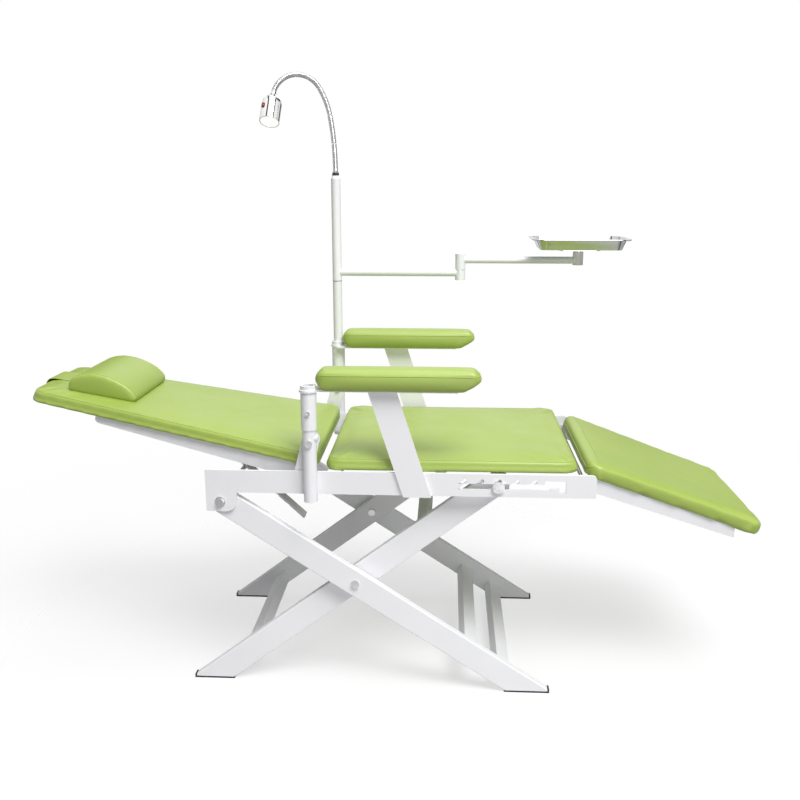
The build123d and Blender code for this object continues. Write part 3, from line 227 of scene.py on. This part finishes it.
MATERIALS = {
    "white_steel": powder_coat("white_steel", (0.87, 0.87, 0.895), (0.91, 0.91, 0.935)),
    "lime_leatherette": leatherette("lime_leatherette"),
    "plywood": plywood("plywood"),
    "zinc": metal("zinc", (0.60, 0.60, 0.61), (0.78, 0.78, 0.79), 0.22, 0.38),
    "black_rubber": plastic("black_rubber", (0.010, 0.010, 0.011), (0.020, 0.020, 0.021), 0.72),
    "white_plastic": plastic("white_plastic", (0.78, 0.78, 0.79), (0.86, 0.86, 0.86), 0.4),
    "black_plastic": plastic("black_plastic", (0.018, 0.018, 0.020), (0.030, 0.030, 0.032), 0.4),
    "polished_tray": metal("polished_tray", (0.48, 0.48, 0.49), (0.60, 0.60, 0.61), 0.10, 0.17,
                           90.0, (0.05, 1.0, 1.0)),
    "chromed_neck": metal("chromed_neck", (0.42, 0.42, 0.43), (0.54, 0.54, 0.55), 0.10, 0.20),
    "chromed_lamp": metal("chromed_lamp", (0.70, 0.70, 0.71), (0.80, 0.80, 0.81), 0.05, 0.11),
    "lens": lens("lens"),
    "red_plastic": plastic("red_plastic", (0.22, 0.006, 0.012), (0.28, 0.010, 0.016), 0.25),
}

for node_name, node_object in NODES.items():
    node_object.data.materials.clear()
    node_object.data.materials.append(MATERIALS[SLOTS[node_name]])

# ------------------------------------------------------------------ mesh helpers


def add_object(name, mesh, slot):
    """Object with a mesh, a material and its record slot."""
    obj = bpy.data.objects.new(name, mesh)
    bpy.context.scene.collection.objects.link(obj)
    obj.data.materials.clear()
    obj.data.materials.append(MATERIALS[slot])
    return obj


def smooth(obj):
    """Shades every face of a mesh smoothly."""
    for face in obj.data.polygons:
        face.use_smooth = True


def evaluated(obj):
    """New mesh of an object with its modifiers applied."""
    graph = bpy.context.evaluated_depsgraph_get()
    return bpy.data.meshes.new_from_object(obj.evaluated_get(graph), depsgraph=graph)


def applied(obj):
    """Applies all of an object's modifiers."""
    material = obj.data.materials[0]
    mesh = evaluated(obj)
    obj.modifiers.clear()
    obj.data = mesh
    obj.data.materials.clear()
    obj.data.materials.append(material)


def bead_along(name, points, radius, slot):
    """Round bead along a closed line of points."""
    bm = bmesh.new()
    rings = []
    count = len(points)
    for i, point in enumerate(points):
        along = (points[(i + 1) % count] - points[i - 1]).normalized()
        aside = along.cross(Vector((0.03, 0.05, 1.0))).normalized()
        if abs(along.z) > 0.9:
            aside = along.cross(Vector((1.0, 0.03, 0.05))).normalized()
        upward = aside.cross(along)
        ring = []
        for k in range(BEAD_SIDES):
            turn = 2 * math.pi * k / BEAD_SIDES
            place = point + radius * (math.cos(turn) * aside + math.sin(turn) * upward)
            ring.append(bm.verts.new(place))
        rings.append(ring)
    for i in range(count):
        here = rings[i]
        there = rings[(i + 1) % count]
        for k in range(BEAD_SIDES):
            after = (k + 1) % BEAD_SIDES
            bm.faces.new((here[k], here[after], there[after], there[k]))
    bmesh.ops.recalc_face_normals(bm, faces=bm.faces)
    mesh = bpy.data.meshes.new(name)
    bm.to_mesh(mesh)
    bm.free()
    obj = add_object(name, mesh, slot)
    smooth(obj)
    return obj


def section_loop(mesh, point, normal):
    """Points in order round the cut of a closed mesh by a plane, evenly thinned."""
    bm = bmesh.new()
    bm.from_mesh(mesh)
    everything = bm.verts[:] + bm.edges[:] + bm.faces[:]
    cut = bmesh.ops.bisect_plane(bm, geom=everything, plane_co=point, plane_no=normal)
    edges = {e for e in cut["geom_cut"] if isinstance(e, bmesh.types.BMEdge)}
    start = max(edges, key=lambda e: e.verts[0].co.length)
    loop = [start.verts[0], start.verts[1]]
    used = {start}
    while True:
        onward = [e for e in loop[-1].link_edges if e in edges and e not in used]
        if not onward:
            break
        used.add(onward[0])
        loop.append(onward[0].other_vert(loop[-1]))
    places = [v.co.copy() for v in loop]
    bm.free()
    if (places[0] - places[-1]).length < SAME_PLACE:
        places.pop()
    kept = [places[0]]
    for place in places[1:]:
        if (place - kept[-1]).length > SEAM_STEP:
            kept.append(place)
    rounded = []
    for i, place in enumerate(kept):
        rounded.append((kept[i - 1] + 2 * place + kept[(i + 1) % len(kept)]) / 4)
    return rounded


# ------------------------------------------------------------------ upholstery


def level_copy(node, slope):
    """Outside of a CAD cushion, turned back by its slope."""
    bm = bmesh.new()
    bm.from_mesh(NODES[node].data)
    hull = bmesh.ops.convex_hull(bm, input=bm.verts)
    inside = [part for part in hull["geom_interior"] if isinstance(part, bmesh.types.BMVert)]
    bmesh.ops.delete(bm, geom=inside, context="VERTS")
    outside = {part for part in hull["geom"] if isinstance(part, bmesh.types.BMFace)}
    bmesh.ops.delete(bm, geom=[f for f in bm.faces if f not in outside], context="FACES_ONLY")
    bmesh.ops.recalc_face_normals(bm, faces=bm.faces)
    bm.transform(Matrix.Rotation(-slope, 4, "Y"))
    mesh = bpy.data.meshes.new(node + "_level")
    bm.to_mesh(mesh)
    bm.free()
    return mesh


def relax(obj):
    """Adds light smoothing to a cushion."""
    modifier = obj.modifiers.new("relax", "SMOOTH")
    modifier.factor = RELAX_FACTOR
    modifier.iterations = RELAX_STEPS


def stuffed(name, node, slope, pinned_height):
    """Remeshed cushion with a Cloth on it, pinned where it lies on its board or plate."""
    obj = add_object(name, level_copy(node, slope), "lime_leatherette")
    remesh = obj.modifiers.new("remesh", "REMESH")
    remesh.mode = "VOXEL"
    remesh.voxel_size = VOXEL
    applied(obj)
    relax(obj)
    applied(obj)
    pin_line = min(v.co.z for v in obj.data.vertices) + pinned_height
    pinned = [v.index for v in obj.data.vertices if v.co.z < pin_line]
    free = [v for v in obj.data.vertices if v.co.z >= pin_line]
    group = obj.vertex_groups.new(name="pin")
    group.add(pinned, 1.0, "REPLACE")
    for vertex in free:
        vertex.co -= START_SMALLER * vertex.normal
    cloth = obj.modifiers.new("cloth", "CLOTH")
    cloth.settings.quality = 5
    cloth.settings.mass = 0.3
    cloth.settings.tension_stiffness = 25.0
    cloth.settings.compression_stiffness = 25.0
    cloth.settings.bending_stiffness = 1.5
    cloth.settings.use_pressure = True
    cloth.settings.uniform_pressure_force = PRESSURE
    cloth.settings.vertex_group_mass = "pin"
    cloth.settings.effector_weights.gravity = 0.0
    cloth.point_cache.frame_start = 1
    cloth.point_cache.frame_end = SIM_FRAMES
    return obj


def settle(obj, cap, slope, body, node):
    """Applies the Cloth, limits how far it moved, and puts the cushion back on its slope.

    Returns the mesh as it was before that turn.
    """
    before = [v.co.copy() for v in obj.data.vertices]
    applied(obj)
    for vertex, start in zip(obj.data.vertices, before):
        moved = vertex.co - start
        if moved.length > cap:
            vertex.co = start + moved * (cap / moved.length)
    relax(obj)
    finer = obj.modifiers.new("finer", "SUBSURF")
    finer.levels = 1
    finer.render_levels = 1
    applied(obj)
    smooth(obj)
    level = obj.data.copy()
    obj.data.transform(Matrix.Rotation(slope, 4, "Y"))
    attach(obj, body)
    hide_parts(node)
    return level


def seam(name, level, slope, point, normal, body):
    """Welt along the cut of a level cushion by a plane, put back on the cushion's slope."""
    points = section_loop(level, point, normal)
    turn = Matrix.Rotation(slope, 3, "Y")
    bead = bead_along(name, [turn @ p for p in points], SEAM_RADIUS, "lime_leatherette")
    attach(bead, body)


def edge_seam(name, level, slope, body, drop):
    """Welt round a panel or armrest, below its top by drop."""
    top = max(v.co.z for v in level.vertices)
    seam(name + "_seam", level, slope, Vector((0, 0, top - drop)), Vector((0, 0, 1)), body)


def end_seams(name, level, slope, body, inset):
    """Welts round the two ends of the pillow."""
    low_y = min(v.co.y for v in level.vertices)
    high_y = max(v.co.y for v in level.vertices)
    for side, y in (("near", low_y + inset), ("far", high_y - inset)):
        seam(f"{name}_seam_{side}", level, slope, Vector((0, y, 0)), Vector((0, 1, 0)), body)


# name, CAD node, body, slope, height held flat, swell, fill, kind of seam, seam's distance
CUSHIONS = [
    ("seat_upholstery", "seat_cushion", "seat_frame", 0.0,
     PANEL_HELD, PANEL_SWELL, 0.8, edge_seam, PANEL_SEAM_DROP),
    ("back_upholstery", "back_cushion", "back", BACK_SLOPE,
     PANEL_HELD, PANEL_SWELL, 0.8, edge_seam, PANEL_SEAM_DROP),
    ("legrest_upholstery", "legrest_cushion", "leg_rest", LEGREST_SLOPE,
     PANEL_HELD, PANEL_SWELL, 0.8, edge_seam, PANEL_SEAM_DROP),
    ("armrest_upholstery_near", "armrest_pad_near", "armrest_near", 0.0,
     ARMREST_HELD, ARMREST_SWELL, 0.85, edge_seam, ARMREST_SEAM_DROP),
    ("armrest_upholstery_far", "armrest_pad_far", "armrest_far", 0.0,
     ARMREST_HELD, ARMREST_SWELL, 0.85, edge_seam, ARMREST_SEAM_DROP),
    ("pillow_upholstery", "pillow", "back", BACK_SLOPE,
     PILLOW_HELD, PILLOW_SWELL, 0.7, end_seams, PILLOW_SEAM_INSET),
]

pieces = {}
for name, node, body, slope, held, *rest in CUSHIONS:
    pieces[name] = stuffed(name, node, slope, held)
for step in range(1, SIM_FRAMES + 1):
    bpy.context.scene.frame_set(step)
for name, node, body, slope, held, swell, fill, add_seams, distance in CUSHIONS:
    level = settle(pieces[name], swell, slope, body, node)
    add_seams(name, level, slope, body, distance)
    bpy.data.meshes.remove(level)
bpy.context.scene.frame_set(1)

STRAP_SLACK = 0.0025
STRAP_THICKNESS = 0.0022
STRAP_STRIPS = 12


def strap():
    """Band from the pillow over the head end of the back and under it."""
    turn = Matrix.Rotation(BACK_SLOPE, 3, "Y")
    level = [turn.inverted() @ v.co for v in NODES["pillow_strap"].data.vertices]
    low = Vector((min(p.x for p in level), min(p.y for p in level), min(p.z for p in level)))
    high = Vector((max(p.x for p in level), max(p.y for p in level), max(p.z for p in level)))
    # Seen from the side, the band's middle line from the pillow round to the underside.
    line = [
        (high.x + 0.004, high.z + 0.016),
        (high.x - 0.006, high.z + 0.003),
        (high.x - 0.020, high.z + STRAP_SLACK),
        (low.x + 0.022, high.z + STRAP_SLACK),
        (low.x + 0.008, high.z),
        (low.x, high.z - 0.007),
        (low.x - STRAP_SLACK, high.z - 0.018),
        (low.x - STRAP_SLACK, low.z + 0.008),
        (low.x + 0.004, low.z + 0.001),
        (low.x + 0.014, low.z),
        (low.x + 0.040, low.z),
        (low.x + 0.070, low.z),
    ]
    bm = bmesh.new()
    width = high.y - low.y
    across = [low.y + width * k / STRAP_STRIPS for k in range(STRAP_STRIPS + 1)]
    grid = [[bm.verts.new((x, y, z)) for y in across] for x, z in line]
    for row, below in zip(grid, grid[1:]):
        for k in range(STRAP_STRIPS):
            bm.faces.new((row[k], row[k + 1], below[k + 1], below[k]))
    bmesh.ops.recalc_face_normals(bm, faces=bm.faces)
    mesh = bpy.data.meshes.new("strap")
    bm.to_mesh(mesh)
    bm.free()
    obj = add_object("headrest_strap", mesh, "lime_leatherette")
    thick = obj.modifiers.new("thick", "SOLIDIFY")
    thick.thickness = STRAP_THICKNESS
    thick.offset = 0.0
    round_off = obj.modifiers.new("round", "SUBSURF")
    round_off.levels = 2
    round_off.render_levels = 2
    applied(obj)
    smooth(obj)
    obj.data.transform(turn.to_4x4())
    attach(obj, "back")
    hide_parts("pillow_strap")


strap()

# ------------------------------------------------------------------ gooseneck

NECK_RADIUS = 0.0070
NECK_GROOVE = 0.0061
RIB_PITCH = 0.0030
RIB_STEPS = 6
NECK_SIDES = 28
NECK_START_GAP = 0.0008
NECK_END_GAP = 0.0014
RIB_SHARPNESS = 0.7


def rib_radius(distance):
    """Radius of the ribbed hose at a distance along it."""
    wave = abs(math.cos(math.pi * distance / RIB_PITCH)) ** RIB_SHARPNESS
    return NECK_GROOVE + (NECK_RADIUS - NECK_GROOVE) * wave


def ribbed_piece(name, start, end, lean_start, lean_end, node, body):
    """Ribbed hose along the arc between two bends of the gooseneck, with closed ends."""
    chord = (end - start).length
    turn = lean_end - lean_start
    length = chord * (turn / 2) / math.sin(turn / 2)
    rings = int(length / RIB_PITCH * RIB_STEPS)
    bm = bmesh.new()
    previous = None
    for i in range(rings + 1):
        covered = length - NECK_END_GAP - NECK_START_GAP
        part = (NECK_START_GAP + covered * i / rings) / length
        here = lean_start + turn * part
        middle = lean_start + turn * part / 2
        run = chord * math.sin(turn * part / 2) / math.sin(turn / 2)
        centre = start + run * Vector((-math.sin(middle), 0, math.cos(middle)))
        aside = Vector((math.cos(here), 0, math.sin(here)))
        across = Vector((0, 1, 0))
        radius = rib_radius(length * part)
        ring = []
        for k in range(NECK_SIDES):
            angle = 2 * math.pi * k / NECK_SIDES
            place = centre + radius * (math.cos(angle) * aside + math.sin(angle) * across)
            ring.append(bm.verts.new(place))
        if previous is None:
            bm.faces.new(ring)
        else:
            for k in range(NECK_SIDES):
                after = (k + 1) % NECK_SIDES
                bm.faces.new((previous[k], previous[after], ring[after], ring[k]))
        previous = ring
    bm.faces.new(list(reversed(previous)))
    bmesh.ops.recalc_face_normals(bm, faces=bm.faces)
    mesh = bpy.data.meshes.new(name)
    bm.to_mesh(mesh)
    bm.free()
    obj = add_object(name, mesh, "chromed_neck")
    smooth(obj)
    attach(obj, body)
    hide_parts(node)


bend_names = [f"neck_bend_{i}" for i in range(1, 6)] + ["lamp_tilt"]
bends = [Vector(JOINTS[name]["pos_m"]) for name in bend_names]
lean_here = 0.0
for number, (start, end) in enumerate(zip(bends, bends[1:]), 1):
    chord = end - start
    lean_end = 2 * math.atan2(-chord.x, chord.z) - lean_here
    ribbed_piece(f"neck_hose_{number}", start, end, lean_here, lean_end,
                 f"neck_piece_{number}", f"neck_{number}")
    lean_here = lean_end

# ------------------------------------------------------------------ tray rim

TRAY_CORNER = 0.030
CORNER_STEPS = 8
RIM_RADIUS = 0.0017


def rounded_rectangle(low, high, corner, z):
    """Points round a rectangle with rounded corners, at height z."""
    centres = [
        (high.x - corner, high.y - corner, 0),
        (low.x + corner, high.y - corner, 1),
        (low.x + corner, low.y + corner, 2),
        (high.x - corner, low.y + corner, 3),
    ]
    points = []
    for x, y, quarter in centres:
        for step in range(CORNER_STEPS + 1):
            angle = math.pi / 2 * (quarter + step / CORNER_STEPS)
            points.append(Vector((x + corner * math.cos(angle), y + corner * math.sin(angle), z)))
    return points


tray_low, tray_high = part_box("tray")
rim_low = tray_low + Vector((RIM_RADIUS, RIM_RADIUS, 0))
rim_high = tray_high - Vector((RIM_RADIUS, RIM_RADIUS, 0))
rim_corner = TRAY_CORNER - RIM_RADIUS
rim_points = rounded_rectangle(rim_low, rim_high, rim_corner, tray_high.z - RIM_RADIUS)
tray_rim = bead_along("tray_rim", rim_points, RIM_RADIUS, "polished_tray")
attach(tray_rim, "tray")

# ------------------------------------------------------------------ floor, light and camera

# The floor is densest within FLOOR_SOLID of its middle and gone at FLOOR_EDGE, in metres.
FLOOR_SOLID = 0.1
FLOOR_EDGE = 2.3
FLOOR_ALPHA = 0.42
# Share of the surroundings' brightness that lights matt surfaces.
WORLD_LIGHT = 0.28
# Brightness of the surroundings across the view, from the head side (0) to the foot side (1).
STUDIO_GAPS = [
    (0.0, 1.1),
    (0.24, 1.1),
    (0.28, 0.05),
    (0.34, 0.05),
    (0.38, 1.2),
    (0.62, 1.2),
    (0.66, 0.30),
    (0.70, 1.0),
    (0.75, 0.06),
    (0.83, 0.06),
    (0.87, 1.1),
    (1.0, 1.1),
]
CAMERA_PLACE = (0.1356, -2.2700, 1.2198)
CAMERA_AZIMUTH = math.radians(2.96)
CAMERA_ELEVATION = math.radians(13.78)
CAMERA_SENSOR = 36.0
CAMERA_LENS = 40.187


def floor():
    """Pale studio floor under the chair that fades into the white surroundings."""
    mat, tree, shader = new_material("studio_floor")
    tree.links.new(ramp(tree, noise(tree, 0.6), (0.95, 0.95, 0.955), (0.97, 0.97, 0.97)),
                   shader.inputs["Base Color"])
    shader.inputs["Roughness"].default_value = 0.8
    shader.inputs["Specular IOR Level"].default_value = 0.1
    distance = tree.nodes.new("ShaderNodeVectorMath")
    distance.operation = "LENGTH"
    tree.links.new(coordinates(tree), distance.inputs[0])
    reach = (FLOOR_SOLID, FLOOR_EDGE)
    fade = spread(tree, distance.outputs["Value"], FLOOR_ALPHA, 0.0, at=reach)
    fade.node.interpolation_type = "SMOOTHSTEP"
    tree.links.new(fade, shader.inputs["Alpha"])
    mesh = bpy.data.meshes.new("floor")
    half = FLOOR_EDGE
    corners = [(-half, -half, 0), (half, -half, 0), (half, half, 0), (-half, half, 0)]
    mesh.from_pydata(corners, [], [(0, 1, 2, 3)])
    obj = bpy.data.objects.new("studio_floor", mesh)
    bpy.context.scene.collection.objects.link(obj)
    obj.data.materials.append(mat)


def area_light(name, place, target, size, power):
    """Soft white square light aimed at a point."""
    data = bpy.data.lights.new(name, "AREA")
    data.shape = "SQUARE"
    data.size = size
    data.energy = power
    obj = bpy.data.objects.new(name, data)
    bpy.context.scene.collection.objects.link(obj)
    obj.location = place
    aim = Vector(target) - Vector(place)
    obj.rotation_mode = "QUATERNION"
    obj.rotation_quaternion = aim.to_track_quat("-Z", "Y")


def product(tree, one, other):
    """Product of two numbers."""
    node = tree.nodes.new("ShaderNodeMath")
    node.operation = "MULTIPLY"
    tree.links.new(one, node.inputs[0])
    tree.links.new(other, node.inputs[1])
    return node.outputs["Value"]


def gap_pattern(tree, sideways):
    """Brightness of the surroundings, with the dark gaps, over a sideways direction."""
    node = tree.nodes.new("ShaderNodeValToRGB")
    stops = node.color_ramp.elements
    for place, _ in STUDIO_GAPS[1:-1]:
        stops.new(place)
    for stop, (place, level) in zip(stops, STUDIO_GAPS):
        stop.position = place
        stop.color = (level, level, level, 1.0)
    tree.links.new(sideways, node.inputs["Fac"])
    return node.outputs["Color"]


def backdrop():
    """White surroundings to look at, and uneven studio light with dark gaps to light by."""
    world = bpy.data.worlds.new("studio")
    bpy.context.scene.world = world
    world.use_nodes = True
    tree = world.node_tree
    background = tree.nodes["Background"]
    background.inputs["Color"].default_value = (1.0, 1.0, 1.0, 1.0)
    direction = tree.nodes.new("ShaderNodeTexCoord").outputs["Generated"]
    parts = tree.nodes.new("ShaderNodeSeparateXYZ")
    tree.links.new(direction, parts.inputs["Vector"])
    sideways = spread(tree, parts.outputs["X"], 0.0, 1.0, at=(-1.0, 1.0))
    overhead = spread(tree, parts.outputs["Z"], 0.55, 1.3, at=(-0.3, 1.0))
    level = product(tree, gap_pattern(tree, sideways), overhead)
    seen = tree.nodes.new("ShaderNodeLightPath")
    power = spread(tree, seen.outputs["Is Glossy Ray"], WORLD_LIGHT, 1.0, at=(0.0, 1.0))
    strength = tree.nodes.new("ShaderNodeMapRange")
    strength.inputs["To Max"].default_value = 1.0
    tree.links.new(product(tree, level, power), strength.inputs["To Min"])
    tree.links.new(seen.outputs["Is Camera Ray"], strength.inputs["Value"])
    tree.links.new(strength.outputs["Result"], background.inputs["Strength"])


def camera():
    """Camera a little above seat height, nearly square to the chair's side."""
    data = bpy.data.cameras.new("camera")
    data.sensor_width = CAMERA_SENSOR
    data.lens = CAMERA_LENS
    obj = bpy.data.objects.new("camera", data)
    bpy.context.scene.collection.objects.link(obj)
    obj.location = CAMERA_PLACE
    forward = Vector((
        -math.sin(CAMERA_AZIMUTH) * math.cos(CAMERA_ELEVATION),
        math.cos(CAMERA_AZIMUTH) * math.cos(CAMERA_ELEVATION),
        -math.sin(CAMERA_ELEVATION),
    ))
    obj.rotation_mode = "QUATERNION"
    obj.rotation_quaternion = forward.to_track_quat("-Z", "Y")
    bpy.context.scene.camera = obj


floor()
backdrop()
area_light("key", (2.1, -3.15, 6.1), (0.0, 0.0, 0.45), 3.3, 465.0)
area_light("fill", (0.9, -3.8, 0.5), (0.0, 0.0, 0.4), 1.8, 26.0)
area_light("top", (0.2, 0.3, 5.5), (0.0, 0.0, 0.6), 2.6, 62.0)
camera()
bpy.context.scene.view_settings.view_transform = "Standard"
